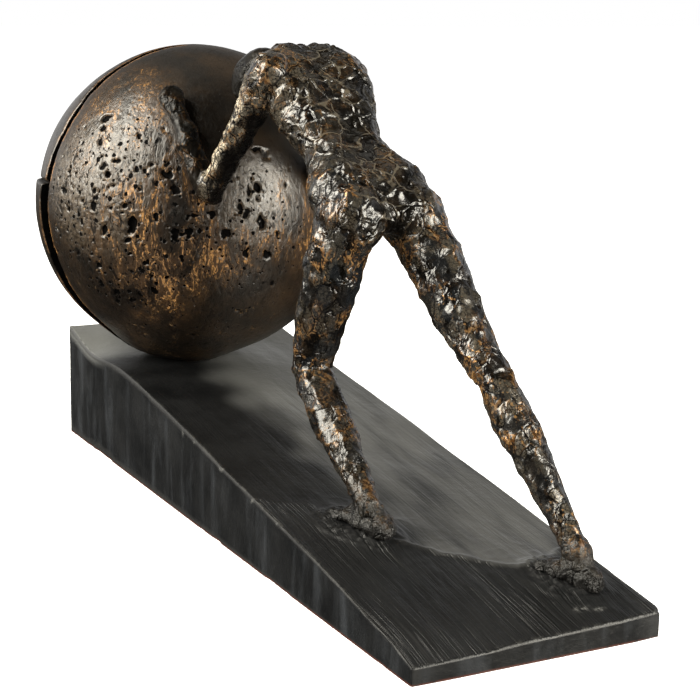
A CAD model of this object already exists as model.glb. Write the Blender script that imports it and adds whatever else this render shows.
"""The looks of the ball sculpture: a hammered bronze figure, a pitted cracked ball and a brushed ramp."""

import math
from itertools import product

import bpy
import numpy as np
from mathutils import Matrix, Vector
from mathutils.bvhtree import BVHTree


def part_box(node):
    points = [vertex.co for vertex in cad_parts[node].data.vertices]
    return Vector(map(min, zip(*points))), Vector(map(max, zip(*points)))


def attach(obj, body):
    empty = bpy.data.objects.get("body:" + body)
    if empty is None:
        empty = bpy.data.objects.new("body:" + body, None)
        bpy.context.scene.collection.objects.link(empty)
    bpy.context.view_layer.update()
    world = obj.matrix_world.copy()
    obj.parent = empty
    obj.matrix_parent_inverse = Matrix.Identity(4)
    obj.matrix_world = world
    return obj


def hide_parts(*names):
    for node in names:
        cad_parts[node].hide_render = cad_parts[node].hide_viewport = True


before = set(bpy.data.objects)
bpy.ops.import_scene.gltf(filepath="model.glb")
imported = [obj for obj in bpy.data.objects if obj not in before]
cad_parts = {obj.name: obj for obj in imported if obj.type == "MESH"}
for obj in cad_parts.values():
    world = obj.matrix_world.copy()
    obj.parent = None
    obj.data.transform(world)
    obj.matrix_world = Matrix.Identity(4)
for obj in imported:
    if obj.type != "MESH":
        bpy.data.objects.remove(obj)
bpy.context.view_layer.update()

MM = 0.001

# The view
CAMERA_AT = (0.633865, -0.318394, 0.233036)
CAMERA_AZIMUTH = math.radians(62.1785)
CAMERA_ELEVATION = math.radians(12.5810)
CAMERA_ROLL = math.radians(1.0432)
CAMERA_LENS = 87.112

# The ramp: the solid's length and width, with sharper edges
BASE_LENGTH = 0.355
BASE_WIDTH = 0.104
EDGE_ROUND = 0.0010
CORNER_ROUND = 0.0040

# The ball: the solid's sizes, with a wider, deeper crack and a bolder side crack and shell
BALL_RADIUS = 0.0748
BALL_LUMP = 0.0005
BALL_LUMP_SPAN = 0.030
BALL_FOOT = 0.0031
BALL_FOOT_SPAN = math.radians(20)
BALL_FOOT_TOWARDS = (0.156, -0.234, -0.960)
CRACK_HALF_WIDTH = 0.0030
CRACK_DEPTH = 0.0052
CRACK_WANDER = 0.0014
CRACK_WAVES = ((3, 0.7, 0.50), (7, 2.1, 0.30), (13, 0.2, 0.25))
BRANCH_TURN = math.radians(171.0)
BRANCH_HALF_WIDTH = 0.0008
SHELL_STEP = 0.0015
SHELL_END = 1.75
SHELL_FADE = 1.1
SHELL_BACK = 1.25
SHELL_BACK_FADE = 0.8


def lattice(cells, seed):
    """A repeatable number from 0 to 1 for each whole-numbered cell."""
    n = cells[..., 0] * 73856093 ^ cells[..., 1] * 19349663 ^ cells[..., 2] * 83492791
    n = (n ^ (seed * 668265263)) & 0xFFFFFFFF
    n = ((n ^ (n >> 15)) * 2246822519) & 0xFFFFFFFF
    n = ((n ^ (n >> 13)) * 3266489917) & 0xFFFFFFFF
    return ((n ^ (n >> 16)) & 0xFFFFFF) / 0xFFFFFF


def soft_noise(points, span, seed=0):
    """Smooth noise from -1 to 1 whose lumps are about span across."""
    scaled = points / span
    cell = np.floor(scaled).astype(np.int64)
    part = scaled - cell
    part = part * part * (3 - 2 * part)
    total = np.zeros(len(points))
    for corner in product((0, 1), repeat=3):
        weight = np.ones(len(points))
        for axis, step in enumerate(corner):
            weight *= part[:, axis] if step else 1 - part[:, axis]
        total += weight * lattice(cell + np.array(corner), seed)
    return total * 2 - 1


def fractal(points, span, octaves, seed=0):
    """Several sizes of soft noise, each half as large and half as strong as the one before."""
    total = np.zeros(len(points))
    strength = 1.0
    for octave in range(octaves):
        total += strength * soft_noise(points + 0.0137 * octave, span, seed + octave)
        span *= 0.5
        strength *= 0.5
    return total / (2 - 2 * strength)


def creased(points, span, octaves, seed=0):
    """Sharp-crested noise from 0 to 1: thin ridges with broad hollows between."""
    total = np.zeros(len(points))
    strength = 1.0
    for octave in range(octaves):
        total += strength * (1 - np.abs(soft_noise(points + 0.0211 * octave, span, seed + octave))) ** 3
        span *= 0.52
        strength *= 0.55
    return total / 2


def scatter(cell, seed):
    return np.stack([lattice(cell, seed + axis) for axis in range(3)], axis=1)


def cells_around(points, span, seed, margin):
    """The 27 cells around each point, each with the way to the point from the cell's scattered seed."""
    scaled = points / span
    home = np.floor(scaled).astype(np.int64)
    for offset in product((-1, 0, 1), repeat=3):
        cell = home + np.array(offset)
        yield cell, scaled - (cell + margin + (1 - 2 * margin) * scatter(cell, seed + 1))


def nearest_cells(points, span, seed=0):
    """Scattered seeds: the distances to the nearest two, and the nearest one's own number from 0 to 1."""
    first = np.full(len(points), 9.0)
    second = np.full(len(points), 9.0)
    number = np.zeros(len(points))
    for cell, gap in cells_around(points, span, seed, 0.1):
        distance = np.sqrt((gap * gap).sum(axis=1))
        closer = distance < first
        second = np.where(closer, first, np.minimum(second, distance))
        number = np.where(closer, lattice(cell, seed + 7), number)
        first = np.where(closer, distance, first)
    return first, second, number


def scooped(points, span, seed=0):
    """Overlapping tilted scoops of about this span that meet in sharp crests, lowest in the deepest."""
    bowl, lean, stagger = 0.6, 0.9, 0.22
    lowest = np.full(len(points), 9.0)
    for cell, gap in cells_around(points, span, seed, 0.05):
        tilt = scatter(cell, seed + 11) - 0.5
        value = bowl * (gap * gap).sum(axis=1) + lean * (gap * tilt).sum(axis=1)
        lowest = np.minimum(lowest, value + stagger * lattice(cell, seed + 17))
    return lowest


def rise(low, high, value):
    """0 below low, 1 above high, and a soft S between."""
    share = np.clip((value - low) / (high - low), 0, 1)
    return share * share * (3 - 2 * share)


def bell(value, width, power=2):
    """1 where the value is 0, dying away beyond the width."""
    return np.exp(-((value / width) ** power))


def unit(direction):
    return np.array(Vector(direction).normalized())


def read_all(rows, name, width, kind):
    values = np.empty(len(rows) * width, kind)
    rows.foreach_get(name, values)
    return values.reshape(-1, width)


def points_of(mesh):
    return read_all(mesh.vertices, "co", 3, np.float32).astype(np.float64)


def set_points(mesh, points):
    mesh.vertices.foreach_set("co", points.astype(np.float32).ravel())
    mesh.update()


def normals_of(mesh):
    return read_all(mesh.vertex_normals, "vector", 3, np.float32).astype(np.float64)


def edges_of(mesh):
    return read_all(mesh.edges, "vertices", 2, np.int32)


def averaged(values, edges, passes, keep=0.0):
    """Each pass sets a vertex's values to the mean of its neighbours', keeping some of its own."""
    count = np.bincount(edges.ravel(), minlength=len(values))
    flat = values.reshape(len(values), -1).copy()
    for _ in range(passes):
        summed = np.empty_like(flat)
        for column in range(flat.shape[1]):
            value = flat[:, column]
            summed[:, column] = np.bincount(edges[:, 0], value[edges[:, 1]], len(flat))
            summed[:, column] += np.bincount(edges[:, 1], value[edges[:, 0]], len(flat))
        flat = keep * flat + (1 - keep) * summed / np.maximum(count, 1)[:, None]
    return flat.reshape(values.shape)


def store(mesh, name, values):
    layer = mesh.attributes.get(name) or mesh.attributes.new(name, "FLOAT", "POINT")
    layer.data.foreach_set("value", values.astype(np.float32))


def mark_relief(mesh, fine_size, broad_size):
    """Stores how far each vertex stands out of its near and its wider surroundings."""
    points = points_of(mesh)
    normals = normals_of(mesh)
    edges = edges_of(mesh)
    near = averaged(points, edges, 3, keep=0.3)
    fine = ((points - near) * normals).sum(axis=1)
    wide = averaged(near, edges, 16, keep=0.3)
    broad = ((near - wide) * normals).sum(axis=1)
    store(mesh, "fine", np.clip(fine / fine_size, -1, 1))
    store(mesh, "broad", np.clip(broad / broad_size, -1, 1))


def new_object(name, data):
    made = bpy.data.objects.new(name, data)
    bpy.context.scene.collection.objects.link(made)
    return made


def mesh_object(name, points, faces):
    mesh = bpy.data.meshes.new(name)
    mesh.from_pydata(points.tolist(), [], faces)
    mesh.update()
    made = new_object(name, mesh)
    mesh.shade_smooth()
    return made


def band(first, second, count):
    """Quads between two closed rows of as many points, given each row's first point."""
    for step in range(count):
        beyond = (step + 1) % count
        yield first + step, first + beyond, second + beyond, second + step


def remeshed(source, name, voxel):
    """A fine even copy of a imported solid."""
    made = new_object(name, source.data.copy())
    step = made.modifiers.new("even", "REMESH")
    step.mode = "VOXEL"
    step.voxel_size = voxel
    mesh = bpy.data.meshes.new_from_object(made.evaluated_get(bpy.context.evaluated_depsgraph_get()))
    made.modifiers.clear()
    made.data = mesh
    mesh.name = name
    mesh.materials.clear()
    mesh.shade_smooth()
    return made


# Materials


class Nodes:
    """A node tree being put together."""

    def __init__(self, tree):
        self.tree = tree

    def node(self, kind, inputs=(), **settings):
        made = self.tree.nodes.new("ShaderNode" + kind)
        for name, value in settings.items():
            setattr(made, name, value)
        for key, value in dict(inputs).items():
            self.feed(made.inputs[key], value)
        return made

    def feed(self, socket, value):
        if isinstance(value, bpy.types.NodeSocket):
            self.tree.links.new(value, socket)
        else:
            socket.default_value = value

    def place(self):
        return self.node("TexCoord").outputs["Object"]

    def scaled(self, place, factors):
        return self.node("Mapping", {"Vector": place, "Scale": factors}).outputs["Vector"]

    def noise(self, place, scale, detail=4.0, roughness=0.55, distortion=0.0):
        made = self.node("TexNoise", {"Vector": place, "Scale": scale, "Detail": detail})
        made.inputs["Roughness"].default_value = roughness
        made.inputs["Distortion"].default_value = distortion
        return made.outputs["Fac"]

    def cloud(self, place, scale):
        """Noise of three separate parts, for pushing a place about."""
        return self.node("TexNoise", {"Vector": place, "Scale": scale, "Detail": 2.0}).outputs["Color"]

    def pits(self, place, scale, size):
        """1 in scattered round pits, whose radius is up to size of a cell, and 0 around them."""
        cells = self.node("TexVoronoi", {"Vector": place, "Scale": scale})
        reach = self.times(size, self.chance(cells))
        return self.ramp(self.less(reach, cells.outputs["Distance"]), 0.0, 0.08)

    def chance(self, cells):
        """Each cell's own number, from 0 to 1."""
        return self.node("SeparateColor", {"Color": cells.outputs["Color"]}).outputs[0]

    def borders(self, place, scale):
        """How far each place is from the border of its cell in a scattered pattern, in cells."""
        cells = self.node("TexVoronoi", {"Vector": place, "Scale": scale}, feature="DISTANCE_TO_EDGE")
        return cells.outputs["Distance"]

    def pushed(self, place, amount, scale):
        """The place moved about by up to the amount."""
        moved = {"Fac": amount, "Color1": place, "Color2": self.cloud(place, scale)}
        return self.node("MixRGB", moved, blend_type="ADD").outputs[0]

    def ramp(self, value, low, high):
        """0 at low, 1 at high, smooth between."""
        ends = {"Value": value, "From Min": low, "From Max": high}
        return self.node("MapRange", ends, interpolation_type="SMOOTHSTEP").outputs["Result"]

    def line(self, value, low, high, to_low, to_high):
        """From to_low at low to to_high at high, straight between."""
        ends = {"Value": value, "From Min": low, "From Max": high, "To Min": to_low, "To Max": to_high}
        return self.node("MapRange", ends).outputs["Result"]

    def maths(self, operation, first, second=0.0, clamp=False):
        made = self.node("Math", {0: first, 1: second}, operation=operation)
        made.use_clamp = clamp
        return made.outputs[0]

    def times(self, first, second, clamp=False):
        return self.maths("MULTIPLY", first, second, clamp)

    def plus(self, first, second):
        return self.maths("ADD", first, second)

    def less(self, first, second):
        return self.maths("SUBTRACT", first, second)

    def highest(self, first, second):
        return self.maths("MAXIMUM", first, second)

    def coordinate(self, place, axis):
        return self.node("SeparateXYZ", {0: place}).outputs[axis]

    def mix(self, share, first, second):
        made = self.node("Mix", data_type="RGBA")
        self.feed(made.inputs["Factor"], share)
        self.feed(made.inputs[6], self.colour(first))
        self.feed(made.inputs[7], self.colour(second))
        return made.outputs[2]

    def colour(self, value):
        return (*value, 1.0) if isinstance(value, tuple) and len(value) == 3 else value

    def mark(self, name):
        return self.node("Attribute", attribute_name=name).outputs["Fac"]

    def bump(self, height, distance, strength=1.0, before=None):
        made = self.node("Bump", {"Height": height, "Distance": distance, "Strength": strength})
        if before is not None:
            self.feed(made.inputs["Normal"], before)
        return made.outputs["Normal"]


class Shader(Nodes):
    """A node material being put together."""

    def __init__(self, name):
        self.material = bpy.data.materials.new(name)
        self.material.use_nodes = True
        super().__init__(self.material.node_tree)
        self.surface = self.tree.nodes["Principled BSDF"]

    def look(self, name, value):
        self.feed(self.surface.inputs[name], value)


def bronze_for_figure():
    s = Shader("hammered figure bronze")
    place = s.place()
    fine, broad, tone, silver, dull = map(s.mark, ("fine", "broad", "tone", "silver", "dull"))
    mottled = s.noise(place, 110.0, 5.0)
    flecks = s.noise(place, 620.0, 3.0, 0.7)
    # Fine plates, each with its own tone, and thin creases like crumpled foil on the back.
    bent = s.pushed(s.scaled(place, (1.0, 1.0, 0.6)), 0.0055, 130.0)
    plates = s.borders(bent, 200.0)
    plate_cells = s.node("TexVoronoi", {"Vector": bent, "Scale": 200.0})
    chance = s.chance(plate_cells)
    crumbs = s.borders(s.pushed(place, 0.0015, 500.0), 640.0)
    foil = s.mark("foil")
    creases = s.borders(s.pushed(place, 0.0100, 85.0), 118.0)
    broken_up = s.ramp(s.noise(place, 85.0, 3.0), 0.47, 0.58)
    body = s.mix(s.ramp(mottled, 0.40, 0.68), (0.0018, 0.0014, 0.0010), (0.0085, 0.0055, 0.0030))
    slate = s.times(s.mark("blue"), s.ramp(tone, 0.35, 0.60))
    flaked = s.mix(slate, body, (0.0042, 0.0048, 0.0056))
    pale = s.mix(s.ramp(tone, 0.74, 0.95), flaked, (0.0130, 0.0115, 0.0090))
    stood_out = s.mix(s.ramp(broad, 0.3, 1.0), pale, (0.0120, 0.0090, 0.0058))
    shining = s.times(silver, s.ramp(plates, 0.03, 0.10))
    shining = s.times(shining, s.ramp(chance, 0.15, 0.45))
    shining = s.times(shining, s.ramp(crumbs, 0.02, 0.14))
    rubbed = s.mix(shining, stood_out, (0.112, 0.095, 0.070))
    crest = s.times(s.ramp(creases, 0.055, 0.010), s.times(foil, s.ramp(mottled, 0.42, 0.56)))
    rubbed = s.mix(crest, rubbed, (0.072, 0.062, 0.046))
    streak = s.times(s.mark("strip"), s.ramp(plates, 0.02, 0.10))
    streak = s.times(streak, s.ramp(crumbs, 0.02, 0.16))
    rubbed = s.mix(streak, rubbed, (0.44, 0.38, 0.285))
    # Gold shows on the ridges and, in places, along the seams between flakes.
    seam = s.times(s.mark("seam"), s.ramp(mottled, 0.46, 0.58))
    standing = s.plus(fine, s.times(seam, 0.9))
    broken = s.plus(standing, s.times(s.less(flecks, 0.5), 1.5))
    lips = s.less(s.ramp(plates, 0.02, 0.05), s.ramp(plates, 0.08, 0.15))
    lips = s.times(lips, s.times(s.ramp(mottled, 0.46, 0.56), s.ramp(flecks, 0.38, 0.55)))
    edge = s.highest(s.ramp(broken, 0.66, 1.00), lips)
    edge = s.times(edge, s.mark("gold"), clamp=True)
    gilt = s.mix(s.ramp(flecks, 0.45, 0.62), (0.120, 0.050, 0.013), (0.34, 0.190, 0.072))
    golden = s.mix(edge, rubbed, gilt)
    gaps = s.times(s.ramp(plates, 0.045, 0.010), s.line(foil, 0.0, 1.0, 0.9, 0.2))
    gaps = s.times(gaps, broken_up)
    hollow = s.highest(s.ramp(s.times(fine, -1.0), 0.25, 1.0), gaps)
    dark = s.mix(hollow, golden, (0.0012, 0.0010, 0.0008))
    blackened = s.mix(s.mark("smeared"), dark, (0.0045, 0.0043, 0.0043))
    blackened = s.mix(s.times(dull, 0.75), blackened, (0.0032, 0.0027, 0.0021))
    blackened = s.mix(s.mark("soot"), blackened, (0.0022, 0.0018, 0.0015))
    s.look("Base Color", blackened)
    metal = s.highest(s.times(edge, 0.7), s.times(shining, 0.6))
    metal = s.times(metal, s.line(s.highest(hollow, streak), 0.0, 1.0, 1.0, 0.0))
    metal = s.times(metal, s.line(s.mark("smeared"), 0.0, 1.0, 1.0, 0.0))
    s.look("Metallic", metal)
    gloss = s.line(s.plus(flecks, s.times(tone, 0.25)), 0.4, 0.9, 0.15, 0.30)
    softened = s.plus(s.times(dull, 0.14), s.times(silver, 0.05))
    s.look("Roughness", s.plus(gloss, softened))
    shaded = s.highest(s.highest(dull, hollow), s.mark("soot"))
    s.look("Specular IOR Level", s.line(shaded, 0.0, 1.0, 0.62, 0.12))
    crust = s.bump(s.noise(place, 900.0, 4.0, 0.65), 0.0006, s.line(s.mark("feet"), 0.0, 1.0, 0.15, 0.9))
    stepped = s.times(s.ramp(plates, 0.0, 0.12), s.line(chance, 0.0, 1.0, 0.35, 1.0))
    stepping = s.times(s.line(foil, 0.0, 1.0, 0.8, 0.15), s.line(broken_up, 0.0, 1.0, 0.2, 1.0))
    stepped = s.bump(stepped, 0.0007, stepping, crust)
    folded = s.bump(s.ramp(creases, 0.0, 0.16), -0.0009, s.times(foil, 0.65), stepped)
    crumbled = s.bump(s.ramp(crumbs, 0.0, 0.25), 0.0003, s.line(broken_up, 0.0, 1.0, 0.06, 0.30), folded)
    s.look("Normal", s.bump(s.noise(place, 420.0, 3.0, 0.6), 0.0007, 0.15, crumbled))
    return s.material


def bronze_for_ball():
    s = Shader("aged ball bronze")
    place = s.place()
    marks = ("fine", "ochre", "worn", "crack", "lip", "crowd")
    fine, ochre_zone, worn_zone, inside, lip, crowded = map(s.mark, marks)
    clouds = s.noise(place, 45.0, 5.0)
    grain = s.noise(place, 620.0, 4.0, 0.7)
    patches = s.noise(s.scaled(place, (1.0, 1.0, 0.45)), 95.0, 4.0, 0.6, 0.5)
    runs = s.noise(s.scaled(place, (1.0, 1.0, 0.20)), 300.0, 3.0, 0.55, 0.9)
    brown = s.mix(s.ramp(clouds, 0.35, 0.7), (0.0042, 0.0027, 0.0015), (0.0155, 0.0088, 0.0037))
    rubbed = s.mix(s.times(worn_zone, s.ramp(grain, 0.35, 0.65)), brown, (0.066, 0.049, 0.031))
    # Thin ochre veins run down the worn side, in patches.
    vein = s.maths("ABSOLUTE", s.less(runs, 0.5))
    vein_width = s.times(ochre_zone, s.line(patches, 0.38, 0.62, 0.0, 0.056))
    veined = s.times(s.ramp(s.less(vein_width, vein), 0.0, 0.030), s.ramp(grain, 0.34, 0.62))
    warmth = s.times(ochre_zone, s.ramp(patches, 0.40, 0.62))
    warmed = s.mix(warmth, rubbed, (0.034, 0.0165, 0.0052))
    ochre = s.mix(veined, warmed, (0.270, 0.132, 0.033))
    rim = s.mix(s.times(s.ramp(fine, 0.40, 1.1), crowded), ochre, (0.210, 0.125, 0.055))
    lipped = s.mix(s.times(lip, s.ramp(grain, 0.38, 0.55)), rim, (0.300, 0.140, 0.040))
    # Small pits join the modelled ones.
    specks = s.pits(s.pushed(place, 0.0016, 420.0), 330.0, s.times(crowded, 0.42))
    torn = s.noise(s.scaled(place, (1.0, 1.0, 0.55)), 340.0, 4.0, 0.72, 0.8)
    ragged = s.plus(s.mark("pit"), s.times(s.less(grain, 0.5), 0.7))
    hole = s.highest(s.ramp(ragged, 0.30, 0.60), specks)
    hole = s.highest(hole, s.times(s.ramp(torn, 0.555, 0.61), s.times(crowded, 0.85)))
    hole = s.highest(hole, inside)
    s.look("Base Color", s.mix(hole, lipped, (0.0010, 0.0008, 0.0007)))
    rough = s.line(grain, 0.3, 0.7, 0.26, 0.40)
    rough = s.plus(rough, s.times(s.mark("calm"), 0.17))
    s.look("Roughness", s.plus(rough, s.times(hole, 0.3)))
    gleam = s.line(s.mark("calm"), 0.0, 1.0, 0.62, 0.38)
    s.look("Specular IOR Level", s.times(gleam, s.line(hole, 0.0, 1.0, 1.0, 0.05)))
    pocks = s.bump(s.noise(s.scaled(place, (1, 1, 0.6)), 650.0, 4.0, 0.7), 0.0003, 0.35)
    sunk = s.bump(specks, -0.0006, 0.8, pocks)
    scored = s.bump(torn, -0.0011, s.times(crowded, 0.48), sunk)
    s.look("Normal", s.bump(s.noise(place, 130.0, 4.0, 0.6), 0.0009, 0.35, scored))
    return s.material


def black_for_base():
    s = Shader("brushed black resin")
    place = s.place()
    fine, brushed, satin = map(s.mark, ("fine", "brushed", "satin"))
    bent = s.pushed(place, 0.0040, 14.0)
    strands = s.noise(s.scaled(bent, (0.018, 1.0, 0.0)), 900.0, 2.0, 0.6)
    broad_strands = s.noise(s.scaled(bent, (0.05, 1.0, 0.0)), 240.0, 3.0, 0.6)
    clouds = s.noise(place, 40.0, 4.0)
    upright = s.noise(s.scaled(place, (1.0, 1.0, 0.18)), 90.0, 4.0, 0.6, 0.4)
    grain = s.noise(place, 420.0, 4.0, 0.7)
    body = s.mix(s.ramp(clouds, 0.3, 0.7), (0.0024, 0.0026, 0.0029), (0.0050, 0.0053, 0.0057))
    smeared = s.mix(s.times(s.ramp(upright, 0.44, 0.78), s.mark("side")), body, (0.019, 0.021, 0.024))
    drifts = s.noise(s.scaled(bent, (0.25, 1.0, 0.0)), 70.0, 2.0)
    washed = s.mix(s.times(satin, s.ramp(drifts, 0.20, 0.60)), smeared, (0.058, 0.059, 0.058))
    far = s.ramp(s.coordinate(place, "X"), 0.02, -0.15)
    washed = s.mix(s.times(satin, far), washed, (0.128, 0.131, 0.128))
    combed = s.mix(s.times(brushed, s.ramp(strands, 0.56, 0.64)), washed, (0.014, 0.014, 0.014))
    grooved = s.mix(s.times(brushed, s.ramp(strands, 0.43, 0.38)), combed, (0.0010, 0.0010, 0.0010))
    ridge = s.mix(s.ramp(fine, 0.45, 1.2), grooved, (0.016, 0.016, 0.016))
    edge = s.mix(s.times(s.mark("rim"), s.ramp(grain, 0.46, 0.60)), ridge, (0.028, 0.028, 0.026))
    height = s.coordinate(place, "Z")
    foot_line = s.times(s.ramp(height, 0.0010, 0.0003), s.ramp(grain, 0.30, 0.50))
    footed = s.mix(foot_line, edge, (0.060, 0.019, 0.012))
    marked = s.mix(s.times(s.mark("scuff"), s.ramp(grain, 0.40, 0.60)), footed, (0.15, 0.15, 0.145))
    s.look("Base Color", marked)
    gloss = s.line(clouds, 0.3, 0.7, 0.36, 0.50)
    s.look("Roughness", s.less(gloss, s.times(satin, 0.08)))
    s.look("Specular IOR Level", s.line(satin, 0.0, 1.0, 0.28, 0.70))
    hairs = s.bump(s.ramp(strands, 0.36, 0.50), 0.0006, brushed)
    furrows = s.bump(broad_strands, 0.0022, s.times(brushed, 0.5), hairs)
    s.look("Normal", s.bump(s.noise(place, 240.0, 4.0, 0.65), 0.0005, 0.45, furrows))
    return s.material


def white_floor():
    s = Shader("pale floor")
    s.look("Base Color", (0.86, 0.86, 0.86, 1))
    s.look("Roughness", 0.9)
    s.look("Emission Color", (1, 1, 1, 1))
    s.look("Emission Strength", 0.97)
    return s.material


# The figure

FIGURE_VOXEL = 0.79 * MM
RAMP_HIGH = 56 * MM  # the plain slope under the feet
RAMP_SLOPE = 0.13
LIMBS = (
    ((0.062, 0.0, 0.140), (-0.020, 0.0, 0.195)),
    ((-0.004, -0.0215, 0.191), (-0.049, -0.030, 0.1365)),
    ((-0.049, -0.030, 0.1365), (-0.077, -0.0366, 0.1795)),
    ((-0.013, 0.0185, 0.189), (-0.0525, 0.0303, 0.136)),
    ((-0.0525, 0.0303, 0.136), (-0.079, 0.034, 0.177)),
    ((0.051, -0.0135, 0.139), (0.034, -0.0195, 0.0745)),
    ((0.034, -0.0195, 0.0745), (0.0925, -0.0225, 0.030)),
    ((0.054, 0.0135, 0.140), (0.1045, 0.0230, 0.0835)),
    ((0.1045, 0.0230, 0.0835), (0.151, 0.0328, 0.022)),
    ((-0.020, 0.0, 0.195), (-0.068, -0.002, 0.180)),
)
BACK, LEFT_UPPER_ARM, LEFT_FOREARM, RIGHT_UPPER_ARM, RIGHT_FOREARM = range(5)
LEFT_THIGH, LEFT_SHIN, RIGHT_THIGH, RIGHT_SHIN, HEAD = range(5, 10)

# How strongly each limb shows each look, in the order of LIMBS
GOLD = np.array([0.20, 0.45, 0.6, 0.3, 0.4, 0.9, 0.5, 1.0, 0.9, 0.1])
BLUE = np.array([0.2, 0.0, 0.0, 0.0, 0.0, 1.0, 0.4, 0.8, 0.4, 0.0])
SILVER = np.array([0.34, 0.6, 0.10, 0.2, 0.1, 0.20, 0.34, 0.42, 0.55, 0.0])
FOIL = np.array([1.0, 0.3, 0.2, 0.3, 0.2, 0.0, 0.0, 0.0, 0.0, 0.3])
DULL = np.array([0.10, 0.0, 0.9, 0.0, 0.9, 0.0, 0.28, 0.0, 0.0, 0.9])


def limb_of(points):
    """The nearest limb of each point, the share along it, and its direction."""
    best = np.full(len(points), 9.0)
    limb = np.zeros(len(points), int)
    share = np.zeros(len(points))
    for index, (start, end) in enumerate(LIMBS):
        start, end = np.array(start), np.array(end)
        run = end - start
        along = np.clip((points - start) @ run / (run @ run), 0, 1)
        away = np.linalg.norm(points - start - along[:, None] * run, axis=1)
        closer = away < best
        best = np.where(closer, away, best)
        limb = np.where(closer, index, limb)
        share = np.where(closer, along, share)
    runs = np.array([np.subtract(end, start) for start, end in LIMBS])
    return limb, share, (runs / np.linalg.norm(runs, axis=1)[:, None])[limb]


def make_figure():
    made = remeshed(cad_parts["figure"], "hammered_figure", FIGURE_VOXEL)
    mesh = made.data
    edges = edges_of(mesh)
    points = averaged(points_of(mesh), edges, 5, keep=0.4)
    set_points(mesh, points)
    normals = normals_of(mesh)
    limb, share, axis = limb_of(points)

    # Clay pressed on in scoops and flakes, longer along a limb than around it.
    along = (points * axis).sum(axis=1)[:, None] * axis
    stretched = points - 0.42 * along
    wobble = np.stack([fractal(points, 5 * MM, 3, seed) for seed in (11, 12, 13)], axis=1)
    warped = stretched + wobble * 2.2 * MM
    calm = rise(-0.35, 0.30, fractal(points, 15 * MM, 2, 14))
    scoops = scooped(warped, 5.4 * MM, 21)
    small = scooped(warped + 3.0, 2.5 * MM, 31)
    first, second, number = nearest_cells(warped + 7.0, 4.3 * MM, 36)
    relief = (scoops - 0.12) * 2.6 * MM * (0.55 + 0.6 * calm)
    relief += (small - 0.12) * 0.50 * MM * (1.15 - 0.95 * calm)
    relief += (number - 0.5) * 0.55 * MM * (0.5 + 0.5 * calm)
    relief += (creased(warped, 3.4 * MM, 3, 41) - 0.45) * 0.50 * MM * (1.1 - 0.7 * calm)
    strength = np.ones(len(points))
    strength[limb == HEAD] = 0.35
    strength[limb == RIGHT_SHIN] = 0.8
    strength = averaged(strength, edges, 12)
    over_ramp = points[:, 2] - (RAMP_HIGH - (points[:, 0] + BASE_LENGTH / 2) * RAMP_SLOPE)
    feet = rise(24 * MM, 13 * MM, over_ramp)
    relief += feet * (creased(points, 2.4 * MM, 2, 43) - 0.45) * 0.8 * MM
    relief = relief * strength + soft_noise(points, 1.1 * MM, 51) * 0.04 * MM
    points = points + normals * relief[:, None]
    set_points(mesh, points)
    mark_relief(mesh, 0.16 * MM, 0.9 * MM)

    normals = normals_of(mesh)
    gold = GOLD[limb] * rise(-0.30, 0.25, fractal(points, 11 * MM, 2, 61)) * (1 - 0.6 * feet)
    store(mesh, "gold", np.clip(averaged(gold, edges, 4), 0, 1))
    store(mesh, "blue", averaged(BLUE[limb], edges, 12))
    store(mesh, "tone", averaged(number, edges, 1, keep=0.5))
    store(mesh, "seam", 1 - rise(0.04, 0.22, second - first))

    # The sides that stand out to the left are rubbed bright; feet, forearms and head are duller.
    outwards = rise(0.05, 0.65, normals @ unit((0.45, -0.80, 0.40)))
    amount = np.where((limb == BACK) & (points[:, 1] > -9 * MM), 0.05, SILVER[limb])
    silver = averaged(amount, edges, 6) * averaged(outwards, edges, 3)
    silver *= rise(-0.45, 0.05, fractal(warped, 7 * MM, 2, 62))
    lit = rise(0.50, 0.85, normals @ np.array((0.14, -0.75, 0.62)))
    on_arm = (limb == LEFT_UPPER_ARM) * rise(0.10, 0.25, share) * rise(0.94, 0.80, share)
    store(mesh, "foil", averaged(FOIL[limb], edges, 14))
    dull = np.maximum(averaged(DULL[limb], edges, 8), 0.6 * feet)
    under = normals @ unit((0.72, 0.40, -0.56))
    sooty = ((limb == LEFT_UPPER_ARM) & (share > 0.2)) * rise(0.25, 0.55, under)
    store(mesh, "silver", np.clip(silver * (1 - dull), 0, 1))
    store(mesh, "dull", np.clip(dull, 0, 1))
    smeared = rise(11 * MM, 6 * MM, over_ramp + fractal(points, 4 * MM, 2, 63) * 2.5 * MM)
    store(mesh, "smeared", smeared)
    store(mesh, "soot", averaged(sooty, edges, 2))
    store(mesh, "strip", averaged(on_arm * lit, edges, 2))
    store(mesh, "feet", feet)
    mesh.materials.append(bronze_for_figure())
    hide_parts("figure")
    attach(made, "root")


# The ball

FRONT_ROWS = 148
BACK_ROWS = 44
TURN_COUNT = 480
DENSE_TURN = math.radians(154)  # the turn where the points lie closest, towards the camera
DENSE_SPAN = math.radians(80)

# Across the crack, from a lip to the middle: the share of its half width, and of its depth
CRACK_PROFILE = ((0.95, 0.07), (0.92, 0.40), (0.84, 0.8), (0.4, 1.0))

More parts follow.
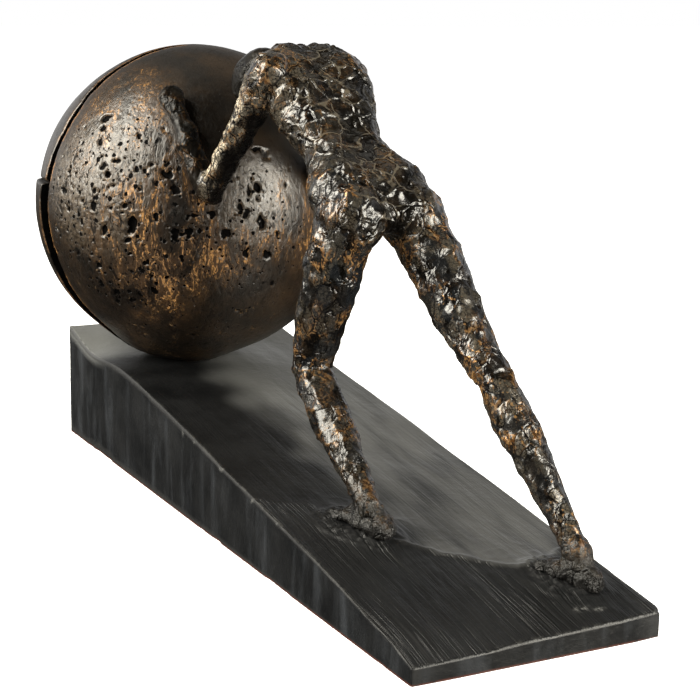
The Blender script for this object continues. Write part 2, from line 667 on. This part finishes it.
# Each larger pit: its direction from the ball's centre, its half width, half height and depth in mm, and
# its lean
PITS = (
    ((0.36, -0.73, 0.58), 4.2, 2.2, 1.3, 0.6),
    ((0.39, -0.76, 0.52), 2.0, 1.6, 1.0, 0.0),
    ((0.55, -0.79, 0.26), 1.9, 1.7, 0.9, 0.0),
    ((0.56, -0.75, 0.34), 1.4, 1.1, 0.7, 0.4),
    ((0.49, -0.86, 0.16), 1.4, 1.8, 0.8, 0.0),
    ((0.49, -0.87, 0.07), 1.9, 3.0, 0.8, 0.3),
    ((0.67, -0.73, 0.09), 2.4, 1.8, 1.0, 0.5),
    ((0.71, -0.70, -0.02), 2.6, 5.2, 1.9, -0.1),
    ((0.68, -0.72, -0.12), 3.2, 1.2, 0.9, 0.5),
    ((0.56, -0.83, -0.07), 1.8, 3.2, 1.0, -0.2),
    ((0.48, -0.83, -0.30), 2.2, 1.2, 0.9, 0.0),
    ((0.98, -0.01, 0.21), 1.8, 2.6, 1.2, 0.4),
    ((1.00, 0.01, -0.01), 2.2, 3.8, 1.7, 0.3),
    ((0.99, -0.13, 0.06), 1.2, 0.9, 0.7, 0.0),
    ((0.90, 0.02, 0.42), 3.0, 1.2, 0.6, 0.1),
    ((0.62, -0.62, 0.48), 1.0, 0.9, 0.5, 0.0),
    ((0.27, -0.95, 0.05), 0.9, 0.9, 0.6, 0.0),
)


def turns_of(count):
    """Turns around the ball, closer together on the side towards the camera."""
    fine = np.linspace(0, 2 * math.pi, 20001)
    gap = np.abs((fine - DENSE_TURN + math.pi) % (2 * math.pi) - math.pi)
    density = 1 + 1.3 * bell(gap, DENSE_SPAN)
    total = np.concatenate([[0], np.cumsum((density[1:] + density[:-1]) / 2)])
    return np.interp(np.arange(count) / count * total[-1], total, fine)


def ball_rows(front_count, back_count):
    """Rows from the +X pole to the -X pole: (distance from the crack's middle plane as an angle, depth)."""
    lip = CRACK_HALF_WIDTH / BALL_RADIUS
    rows = []
    for index in range(front_count):
        share = 1 - (index + 1) / front_count
        rows.append((lip + share * (math.pi / 2 - lip), 0.0))
    rows += [(lip * out, depth) for out, depth in CRACK_PROFILE]
    rows += [(-lip * out, depth) for out, depth in reversed(CRACK_PROFILE)]
    for index in range(back_count):
        share = index / back_count
        rows.append((-lip - share * (math.pi / 2 - lip), 0.0))
    return rows


def make_ball():
    node_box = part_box("ball")
    solid_points = points_of(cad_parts["ball"].data)
    upper = solid_points[solid_points[:, 2] > node_box[0].z + BALL_RADIUS * 0.6]
    spread = np.c_[2 * upper, np.ones(len(upper))]
    middle = np.linalg.lstsq(spread, (upper**2).sum(axis=1), rcond=None)[0][:3]

    rows = ball_rows(FRONT_ROWS, BACK_ROWS)
    turns = turns_of(TURN_COUNT)
    lat = np.array([row[0] for row in rows])
    depth = np.array([row[1] for row in rows])
    turn_grid, lat_grid = np.meshgrid(turns, lat)
    depth_grid = np.repeat(depth[:, None], len(turns), axis=1)
    turn = turn_grid.ravel()
    latitude = lat_grid.ravel()
    deep = depth_grid.ravel()
    ring = np.stack([np.zeros_like(turn), np.cos(turn), np.sin(turn)], axis=1) * BALL_RADIUS

    # The crack wanders, and its lips are broken unevenly.
    wander = CRACK_WANDER * sum(share * np.sin(waves * turn + phase) for waves, phase, share in CRACK_WAVES)
    wander += soft_noise(ring, 5 * MM, 71) * 0.45 * MM + soft_noise(ring, 1.8 * MM, 72) * 0.22 * MM
    near_crack = np.cos(latitude) ** 4
    below_branch = rise(BRANCH_TURN, BRANCH_TURN + 0.05, turn) * rise(4.6, 4.0, turn)
    width = 1 + 0.30 * soft_noise(ring, 16 * MM, 73) + 0.20 * soft_noise(ring, 4 * MM, 74)
    width += 0.3 * below_branch
    near_lip = bell(np.abs(latitude) * BALL_RADIUS, 6 * MM)
    front = latitude > 0
    lip_shift = np.where(front, 1, -1) * (width - 1) * CRACK_HALF_WIDTH * near_lip
    ragged = soft_noise(ring + np.where(front, 0.5, 0.0)[:, None], 1.1 * MM, 75) * 0.18 * MM * near_lip
    latitude = latitude + (wander * near_crack + lip_shift + ragged) / BALL_RADIUS

    away = np.stack(
        [np.sin(latitude), np.cos(latitude) * np.cos(turn), np.cos(latitude) * np.sin(turn)], axis=1
    )
    radius = BALL_RADIUS - deep * CRACK_DEPTH

    def towards(direction):
        """1 in the direction from the ball's middle, 0 square to it."""
        return away @ unit(direction)

    def zone(direction, low, high):
        return rise(low, high, towards(direction))

    # The side crack behind, with the shell below it standing out.
    behind = ~front
    from_branch = (turn - BRANCH_TURN + 0.012 * soft_noise(away * BALL_RADIUS, 7 * MM, 76)) * BALL_RADIUS
    fade = rise(0, 1, (BRANCH_TURN + SHELL_END - turn) / SHELL_FADE)
    fade *= rise(0, 1, (latitude + SHELL_BACK) / SHELL_BACK_FADE)
    radius += np.where(behind & (from_branch > 0), SHELL_STEP * fade * (1 - deep), 0)
    in_branch = bell(from_branch, BRANCH_HALF_WIDTH, 4) * np.where(behind, 1 - deep, 0)
    in_branch *= rise(-1.3, -0.9, latitude)
    radius -= in_branch * 2.4 * MM

    surface = away * BALL_RADIUS
    radius += soft_noise(surface, BALL_LUMP_SPAN, 77) * BALL_LUMP
    foot = np.arccos(np.clip(towards(BALL_FOOT_TOWARDS), -1, 1))
    swelling = bell(foot, BALL_FOOT_SPAN, 4)
    radius += swelling * (BALL_FOOT + soft_noise(surface, 4 * MM, 78) * 0.4 * MM)

    # Larger pits, each ragged and with a raised rim.
    relief = np.zeros(len(turn))
    pit = np.zeros(len(turn))
    for direction, half_wide, half_high, deepness, lean in PITS:
        direction = unit(direction)
        side = np.cross((0, 0, 1), direction)
        side /= np.linalg.norm(side)
        up = np.cross(direction, side)
        offset = surface - direction * BALL_RADIUS
        wide = offset @ side
        high = offset @ up
        wide, high = wide + lean * high, high - lean * wide
        ragged = 1 + 0.35 * soft_noise(surface, 1.6 * MM, 79) + 0.25 * soft_noise(surface, 3.5 * MM, 80)
        reach = np.sqrt((wide / (half_wide * MM)) ** 2 + (high / (half_high * MM)) ** 2) * ragged
        facing = away @ direction > 0.7
        hole = np.where(facing, 1 - rise(0.55, 1.05, reach), 0)
        rim = 0.25 * MM * bell(reach - 1.25, 0.22)
        relief += np.where(facing, rim, 0) - deepness * MM * hole
        pit = np.maximum(pit, hole)

    # Small pits crowd where the metal was worn, and thin out over the smooth top and lower right.
    crowd = zone((0.55, -0.80, 0.10), 0.72, 0.97) + 0.38 * zone((0.99, 0.03, 0.02), 0.86, 0.985)
    crowd += 0.45 * zone((0.80, -0.45, -0.25), 0.5, 0.9)
    crowd = np.clip(crowd, 0, 1)
    pocked = surface * (1, 1, 0.75)
    for span, size, deepness, seed in ((7.0, 0.27, 0.9, 81), (4.4, 0.31, 0.6, 91)):
        first, _, number = nearest_cells(pocked, span * MM, seed)
        chosen = (number < 0.34 * crowd) * (0.3 + 0.7 * crowd)
        reach = first / (size * (0.5 + 0.8 * ((number * 11) % 1)))
        uneven = 1 + 0.75 * soft_noise(surface, 1.7 * MM, seed + 9)
        reach *= uneven + 0.4 * soft_noise(surface, 3.1 * MM, seed + 10)
        hole = chosen * (1 - rise(0.5, 1.05, reach))
        relief -= deepness * MM * hole
        relief += chosen * crowd**2 * 0.16 * MM * bell(reach - 1.35, 0.3)
        pit = np.maximum(pit, hole)
    relief += fractal(surface, 6 * MM, 3, 111) * 0.16 * MM * (0.4 + 0.6 * crowd)
    runs = fractal(surface * (1, 1, 0.35), 2.6 * MM, 2, 121)
    relief += runs * 0.09 * MM * (0.3 + 0.7 * crowd)
    relief *= 1 - deep
    radius += relief
    points = middle + away * radius[:, None]

    across = len(turns)
    count = len(rows)
    pole_front = len(points)
    points = np.vstack([points, middle + [BALL_RADIUS, 0, 0], middle - [BALL_RADIUS, 0, 0]])
    faces = []
    for row in range(count - 1):
        faces += band(row * across, (row + 1) * across, across)
    last = (count - 1) * across
    for step in range(across):
        beyond = (step + 1) % across
        faces.append((pole_front, beyond, step))
        faces.append((pole_front + 1, last + step, last + beyond))
    made = mesh_object("cracked_ball", points, faces)
    mesh = made.data
    mark_relief(mesh, 0.14 * MM, 0.6 * MM)

    def padded(values):
        """With a 0 for each of the two poles."""
        return np.append(values, [0.0, 0.0])

    ochre = 1.0 * zone((0.84, -0.50, -0.22), 0.80, 0.97)
    ochre += 0.8 * zone((0.97, 0.18, -0.10), 0.90, 0.985)
    ochre += 0.6 * zone((0.40, -0.66, 0.63), 0.88, 0.98)
    ochre += 0.5 * zone((0.62, -0.70, 0.30), 0.85, 0.98)
    ochre *= 1 - 0.9 * zone((0.75, 0.05, -0.66), 0.82, 0.97)
    worn = 0.9 * zone((0.46, -0.84, 0.22), 0.86, 0.985) + 0.7 * zone((1.0, 0.0, 0.10), 0.95, 0.995)
    away_from_camera = rise(0.10, -0.25, away[:, 0] - 0.6 * away[:, 1])
    calm = np.maximum(zone((0.0, 0.15, 1.0), 0.55, 0.88), away_from_camera)
    store(mesh, "calm", padded(calm * (1 - crowd)))
    store(mesh, "ochre", padded(np.clip(ochre, 0, 1)))
    store(mesh, "worn", padded(np.clip(worn, 0, 1)))
    store(mesh, "pit", padded(pit))
    store(mesh, "crowd", padded(np.clip(0.25 + 0.75 * crowd, 0, 1)))
    beyond_lip = np.abs(lat_grid.ravel()) * BALL_RADIUS - CRACK_HALF_WIDTH
    lip = bell(beyond_lip, 0.8 * MM) * (1 - deep) * np.where(front, 0.9, 0.4)
    lip *= rise(-0.2, 0.5, soft_noise(ring, 9 * MM, 131) + 0.35 * np.abs(np.sin(turn)))
    store(mesh, "lip", padded(lip))
    crack = np.maximum(rise(0.0, 0.07, deep), in_branch)
    store(mesh, "crack", padded(crack))
    mesh.materials.append(bronze_for_ball())
    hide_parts("ball")
    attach(made, "root")


# The ramp

# Each foot's heel and toe, seen from above
FEET = (((0.0995, -0.019), (0.0725, -0.029)), ((0.1585, 0.035), (0.135, 0.025)))

# The paste behind the feet ends along a line, from the -Y edge to the +Y edge
PASTE_Y = (-0.052, -0.032, -0.019, 0.025, 0.052)
PASTE_X = (0.048, 0.062, 0.101, 0.137, 0.122)

# The weights that smooth the solid's top, each with its offset in grid steps
SMOOTHING = ((-2, 0.1), (-1, 0.2), (0, 0.4), (1, 0.2), (2, 0.1))

# Chips in the black: each one's place, and its reach in mm
SCUFFS = (
    ((-0.024, -0.0515, 0.0375), (1.6, 0.8, 0.8)),
    ((-0.012, -0.0515, 0.0360), (0.8, 0.7, 0.7)),
    ((0.017, -0.0515, 0.0320), (1.8, 0.7, 0.7)),
    ((0.048, -0.0515, 0.0275), (1.3, 0.8, 0.8)),
    ((0.071, -0.0515, 0.0245), (0.8, 0.6, 0.6)),
    ((0.1665, 0.0240, 0.0115), (1.2, 2.2, 4.0)),
    ((0.1690, 0.0300, 0.0115), (0.9, 1.8, 4.0)),
)


def foot_frame(x, y, foot):
    """Distance along and across a foot from its middle, in metres."""
    heel, toe = np.array(foot[0]), np.array(foot[1])
    run = (toe - heel) / np.linalg.norm(toe - heel)
    middle = (heel + toe) / 2
    long = (x - middle[0]) * run[0] + (y - middle[1]) * run[1]
    wide = (x - middle[0]) * run[1] - (y - middle[1]) * run[0]
    return long, wide, np.linalg.norm(toe - heel)


def rounded(points, height):
    """Wears the ramp's upper edges and its upright corner, given the plain height at each point."""
    x, y = points[:, 0].copy(), points[:, 1].copy()
    t = points[:, 2] - height
    inner_x = BASE_LENGTH / 2 - EDGE_ROUND
    inner_y = BASE_WIDTH / 2 - EDGE_ROUND
    hold = [np.clip(x, -inner_x, inner_x), np.clip(y, -inner_y, inner_y), np.minimum(t, -EDGE_ROUND)]
    hold = np.stack(hold, axis=1)
    gap = np.stack([x, y, t], axis=1) - hold
    largest = np.abs(gap).max(axis=1)
    length = np.linalg.norm(gap, axis=1)
    gap *= (largest / np.maximum(length, 1e-12))[:, None]
    x, y, t = (hold + gap).T
    inner_x = BASE_LENGTH / 2 - CORNER_ROUND
    inner_y = BASE_WIDTH / 2 - CORNER_ROUND
    corner = (x > inner_x) & (y > inner_y)
    dx, dy = x - inner_x, y - inner_y
    shrink = np.where(corner, np.maximum(dx, dy) / np.maximum(np.hypot(dx, dy), 1e-12), 1)
    x = np.where(corner, inner_x + dx * shrink, x)
    y = np.where(corner, inner_y + dy * shrink, y)
    return x, y, t


def make_base():
    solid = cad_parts["base"].data
    tree = BVHTree.FromPolygons([v.co for v in solid.vertices], [p.vertices for p in solid.polygons])

    def stations(length, dense_from, dense_to, coarse, fine):
        """Places along a length, closer together in its dense part."""
        places = [-length / 2]
        while places[-1] < length / 2:
            dense = dense_from < places[-1] < dense_to
            places.append(places[-1] + (fine if dense else coarse))
        places = np.array(places)
        return (places - places[0]) / (places[-1] - places[0]) * length - length / 2

    edge_steps = np.array([0, 0.25, 0.5, 0.75, 1.0]) * EDGE_ROUND

    def with_edges(places, half):
        """The places, with close ones over the rounding at both ends."""
        inside = places[np.abs(places) < half - EDGE_ROUND * 1.3]
        return np.concatenate([-half + edge_steps, inside, half - edge_steps[::-1]])

    xs = with_edges(stations(BASE_LENGTH, 0.045, 0.172, 1.00 * MM, 0.61 * MM), BASE_LENGTH / 2)
    ys = with_edges(stations(BASE_WIDTH, -0.045, 0.040, 0.85 * MM, 0.66 * MM), BASE_WIDTH / 2)

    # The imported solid's top, read on a coarse grid and smoothed, carries the fine one.
    coarse_x = np.linspace(-BASE_LENGTH / 2 + 3 * MM, BASE_LENGTH / 2 - 3 * MM, 120)
    coarse_y = np.linspace(-BASE_WIDTH / 2 + 3 * MM, BASE_WIDTH / 2 - 3 * MM, 48)
    heights = np.empty((len(coarse_x), len(coarse_y)))
    for i, x in enumerate(coarse_x):
        for j, y in enumerate(coarse_y):
            heights[i, j] = tree.ray_cast(Vector((x, y, 1)), Vector((0, 0, -1)))[0].z
    padded = np.pad(heights, 2, mode="reflect", reflect_type="odd")
    smooth = sum(
        weight_i * weight_j * padded[2 + i : 2 + i + len(coarse_x), 2 + j : 2 + j + len(coarse_y)]
        for i, weight_i in SMOOTHING
        for j, weight_j in SMOOTHING
    )

    def height_at(x, y):
        """The smoothed top's height."""
        i = (x - coarse_x[0]) / (coarse_x[1] - coarse_x[0])
        j = (y - coarse_y[0]) / (coarse_y[1] - coarse_y[0])
        low_i = np.clip(np.floor(i).astype(int), 0, len(coarse_x) - 2)
        low_j = np.clip(np.floor(j).astype(int), 0, len(coarse_y) - 2)
        part_i, part_j = i - low_i, j - low_j
        return (
            smooth[low_i, low_j] * (1 - part_i) * (1 - part_j)
            + smooth[low_i + 1, low_j] * part_i * (1 - part_j)
            + smooth[low_i, low_j + 1] * (1 - part_i) * part_j
            + smooth[low_i + 1, low_j + 1] * part_i * part_j
        )

    # A section runs up the -Y face, over the top, down the +Y face and back along the underside.
    side_steps = np.linspace(0, 1, 26)
    lower_y = np.linspace(BASE_WIDTH / 2, -BASE_WIDTH / 2, 9)[1:-1]
    section = [(-BASE_WIDTH / 2, share) for share in side_steps[:-1]]
    section += [(y, 1.0) for y in ys]
    section += [(BASE_WIDTH / 2, share) for share in side_steps[::-1][1:]]
    section += [(y, 0.0) for y in lower_y]
    section_y = np.array([y for y, _ in section])
    section_share = np.array([share for _, share in section])
    around = len(section)

    grid_x = np.repeat(xs, around)
    grid_y = np.tile(section_y, len(xs))
    grid_share = np.tile(section_share, len(xs))
    height = height_at(grid_x, grid_y)
    plain = np.stack([grid_x, grid_y, height * grid_share], axis=1)
    x, y, t = rounded(plain, height)
    height = height_at(x, y)
    z = np.maximum(height + t, 0) * np.where(grid_share == 0, 0, 1)

    # Each end is closed by rings that shrink to its middle.
    rings = (1.0, 0.85, 0.6, 0.3)
    blocks = [np.stack([x, y, z], axis=1)]
    for end, face_x in ((0, -BASE_LENGTH / 2), (len(xs) - 1, BASE_LENGTH / 2)):
        outline = blocks[0][end * around : (end + 1) * around].copy()
        outline[:, 1] = np.clip(outline[:, 1], -BASE_WIDTH / 2 + EDGE_ROUND, BASE_WIDTH / 2 - EDGE_ROUND)
        top = outline[:, 2].max()
        outline[:, 2] = 0.4 * MM + outline[:, 2] * (top - 0.8 * EDGE_ROUND - 0.4 * MM) / top
        outline[:, 0] = face_x
        centre = np.array([face_x, 0.0, outline[:, 2].max() / 2])
        blocks += [centre + (outline - centre) * ring for ring in rings]
        blocks.append(centre[None])
    points = np.vstack(blocks)

    # 1 on the top, 0 on the faces around it.
    top_height = np.maximum(height_at(points[:, 0], points[:, 1]), 1e-6)
    top_share = np.clip((points[:, 2] / top_height - 0.9) / 0.1, 0, 1)
    relief = np.zeros(len(points))
    flat = np.stack([points[:, 0], points[:, 1], np.zeros(len(points))], axis=1)
    near_ball = rise(-0.045, -0.085, points[:, 0])
    past_paste = points[:, 0] - np.interp(points[:, 1], PASTE_Y, PASTE_X)
    past_paste = past_paste + soft_noise(flat, 9 * MM, 165) * 2.5 * MM
    past_paste += soft_noise(flat, 3 * MM, 166) * 0.8 * MM
    brushed = rise(-2 * MM, 3 * MM, past_paste)
    patchy = rise(-0.25, 0.35, fractal(flat * (0.4, 1, 1), 22 * MM, 2, 167))
    drift = np.stack([np.zeros(len(points)), soft_noise(flat, 30 * MM, 131), np.zeros(len(points))], axis=1)
    strand_place = (flat + drift * 2.2 * MM) * (0.06, 1, 1)
    strands = fractal(strand_place, 2.0 * MM, 2, 141)
    relief += strands * MM * (0.10 * (1 - 0.85 * near_ball) + 0.22 * brushed * patchy)
    deep_cuts = np.maximum(creased(strand_place * 0.9, 4.5 * MM, 1, 142) - 0.36, 0)
    relief -= deep_cuts * 1.5 * MM * (0.15 + 0.85 * brushed) * (1 - near_ball)
    ridge = 0.55 * MM * bell(past_paste, 1.6 * MM)
    relief += ridge * rise(-0.030, -0.015, points[:, 1])
    swirl = fractal(flat * (0.45, 1, 1), 14 * MM, 3, 151)
    relief += swirl * 0.30 * MM
    wrinkled = creased(flat * (0.55, 1, 1) + drift * 3 * MM, 7 * MM, 2, 161)
    wrinkle_zone = np.zeros(len(points))
    heap_zone = np.zeros(len(points))
    for foot in FEET:
        long, wide, length = foot_frame(points[:, 0], points[:, 1], foot)
        reach = np.sqrt((long / (length * 0.72)) ** 2 + (wide / (13.5 * MM)) ** 2)
        reach *= 1 + 0.12 * soft_noise(flat, 6 * MM, 171)
        wrinkle_zone = np.maximum(wrinkle_zone, 1 - rise(1.0, 2.6, reach))
        heap = 1 - rise(0.72, 1.02, reach)
        heap_zone = np.maximum(heap_zone, heap)
        relief += heap * 0.9 * MM + 0.45 * MM * bell(reach - 0.98, 0.07)
    relief += wrinkled * wrinkle_zone * 0.55 * MM * (1 - heap_zone)
    lumpy = creased(points, 2.6 * MM, 2, 181) * 1.4 * MM + soft_noise(points, 1.4 * MM, 182) * 0.35 * MM
    relief += heap_zone * (lumpy - 0.3 * MM)
    points[:, 2] += relief * top_share

    # The side faces are uneven, and the bottom edges wander a little.
    side = (1 - top_share) * np.clip(points[:, 2] / (4 * MM), 0, 1)
    sway = fractal(points * (1, 0.2, 0.6), 26 * MM, 3, 191)
    smears = fractal(points * (1, 0.2, 0.25), 5 * MM, 2, 192)
    push = (sway * 0.35 * MM + smears * 0.10 * MM) * side
    on_side = np.abs(np.abs(points[:, 1]) - BASE_WIDTH / 2) < 0.3 * MM
    points[:, 1] -= np.sign(points[:, 1]) * np.abs(push) * on_side
    bite = np.maximum(fractal(points * (1, 0.1, 0.1), 11 * MM, 2, 193) - 0.1, 0)
    low = bell(points[:, 2], 3 * MM) * on_side
    points[:, 1] -= np.sign(points[:, 1]) * bite * 1.6 * MM * low

    faces = []
    for i in range(len(xs) - 1):
        near = i * around
        far = near + around
        for k in range(around):
            beyond = (k + 1) % around
            faces.append((near + k, far + k, far + beyond, near + beyond))
    first_ring = len(xs) * around
    for end, flip in ((0, False), (len(xs) - 1, True)):
        loops = [end * around] + [first_ring + ring * around for ring in range(len(rings))]
        middle = first_ring + len(rings) * around
        for outer, inner in zip(loops, loops[1:]):
            faces += [quad[::-1] if flip else quad for quad in band(outer, inner, around)]
        for k in range(around):
            beyond = (k + 1) % around
            corner = (loops[-1] + k, loops[-1] + beyond, middle)
            faces.append(corner[::-1] if flip else corner)
        first_ring = middle + 1
    made = mesh_object("brushed_ramp", points, faces)
    mesh = made.data
    mark_relief(mesh, 0.12 * MM, 0.6 * MM)
    hair = (0.18 + 0.82 * brushed * (0.22 + 0.78 * patchy)) * (1 - 0.8 * near_ball)
    store(mesh, "brushed", np.clip(top_share * hair, 0, 1))
    # The satin wash lies on the +Y half and across the high end.
    across = points[:, 1] + soft_noise(flat, 16 * MM, 168) * 8 * MM
    high_end = rise(-118 * MM, -150 * MM, points[:, 0])
    washed = np.maximum(rise(-20 * MM, 8 * MM, across), high_end)
    store(mesh, "satin", np.clip(top_share * (1 - brushed) * washed, 0, 1))
    store(mesh, "side", np.clip(1 - top_share, 0, 1))
    inset = np.minimum(BASE_WIDTH / 2 - np.abs(points[:, 1]), BASE_LENGTH / 2 - np.abs(points[:, 0]))
    rim = bell(inset - 0.5 * MM, 0.45 * MM) * rise(0.5, 1.0, top_share)
    store(mesh, "rim", rim * rise(-0.5, 0.4, fractal(points, 14 * MM, 2, 202)))
    mesh.set_sharp_from_angle(angle=math.radians(50))
    scuff = np.zeros(len(points))
    for place, reach in SCUFFS:
        gap = (points - np.array(place)) / (np.array(reach) * MM)
        scuff = np.maximum(scuff, np.exp(-(gap**2).sum(axis=1)))
    scuff *= rise(-0.1, 0.4, soft_noise(points, 0.9 * MM, 201) + 0.35)
    store(mesh, "scuff", np.clip(scuff, 0, 1))
    mesh.materials.append(black_for_base())
    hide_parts("base")
    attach(made, "root")


# The studio

SOFTBOX_AIM = Vector((-0.08, 0.0, 0.11))
SOFTBOX_COLOUR = (1.0, 0.95, 0.83)

# Each softbox: its direction in the view (right, up, back to the camera), distance, width, height, power
SOFTBOXES = {
    "left softbox": ((-0.80, 0.49, 0.345), 1.1, 0.62, 0.98, 40.0),
    "right softbox": ((0.79, 0.05, 0.61), 1.2, 0.55, 0.85, 32.0),
    "top softbox": ((0.10, 0.95, -0.30), 1.2, 0.9, 0.5, 0.8),
}


def view_axes():
    """The view's right, up and back, as the camera holds them."""
    a, e, roll = CAMERA_AZIMUTH, CAMERA_ELEVATION, CAMERA_ROLL
    back = Vector((math.sin(a) * math.cos(e), -math.cos(a) * math.cos(e), math.sin(e)))
    right = Vector((math.cos(a), math.sin(a), 0))
    up = back.cross(right)
    rolled_right = right * math.cos(roll) + up * math.sin(roll)
    rolled_up = up * math.cos(roll) - right * math.sin(roll)
    return rolled_right, rolled_up, back


def make_camera():
    right, up, back = view_axes()
    data = bpy.data.cameras.new("camera")
    data.lens = CAMERA_LENS
    data.sensor_width = 36
    data.clip_end = 50
    camera = new_object("camera", data)
    camera.matrix_world = Matrix.Translation(CAMERA_AT) @ Matrix((right, up, back)).transposed().to_4x4()
    bpy.context.scene.camera = camera


def softbox(name, towards, distance, width, height, power):
    """A rectangular light that shines at the sculpture's middle."""
    right, up, back = view_axes()
    way = (right * towards[0] + up * towards[1] + back * towards[2]).normalized()
    data = bpy.data.lights.new(name, "AREA")
    data.shape = "RECTANGLE"
    data.size = width
    data.size_y = height
    data.color = SOFTBOX_COLOUR
    data.energy = power
    light = new_object(name, data)
    turned = way.to_track_quat("Z", "Y").to_matrix().to_4x4()
    light.matrix_world = Matrix.Translation(SOFTBOX_AIM + way * distance) @ turned


def make_studio():
    for name, sizes in SOFTBOXES.items():
        softbox(name, *sizes)
    world = bpy.data.worlds.new("studio")
    world.use_nodes = True
    s = Nodes(world.node_tree)
    # The room is white behind the object and dim in front of it, above it and below the floor.
    place = s.node("TexCoord").outputs["Generated"]
    height = s.coordinate(place, "Z")
    away = -view_axes()[2]
    towards_backdrop = s.node("VectorMath", {0: place, 1: away}, operation="DOT_PRODUCT").outputs["Value"]
    overhead = s.line(s.ramp(height, 0.10, 0.62), 0.0, 1.0, 1.0, 0.04)
    behind = s.line(s.ramp(towards_backdrop, -0.30, 0.55), 0.0, 1.0, 0.055, 0.85)
    above_floor = s.line(s.ramp(height, -0.12, 0.0), 0.0, 1.0, 0.03, 1.0)
    room = s.times(s.times(overhead, behind), above_floor)
    seen = s.node("LightPath").outputs["Is Camera Ray"]
    background = world.node_tree.nodes["Background"]
    s.feed(background.inputs["Strength"], s.highest(room, seen))
    s.feed(background.inputs["Color"], (1, 1, 1, 1))
    bpy.context.scene.world = world
    bpy.context.scene.view_settings.view_transform = "Standard"

    side = 6.0
    corners = np.array([(-side, -side, 0), (side, -side, 0), (side, side, 0), (-side, side, 0)])
    floor = mesh_object("floor", corners, [(0, 1, 2, 3)])
    floor.data.materials.append(white_floor())
    floor.visible_glossy = False


make_figure()
make_ball()
make_base()
make_camera()
make_studio()
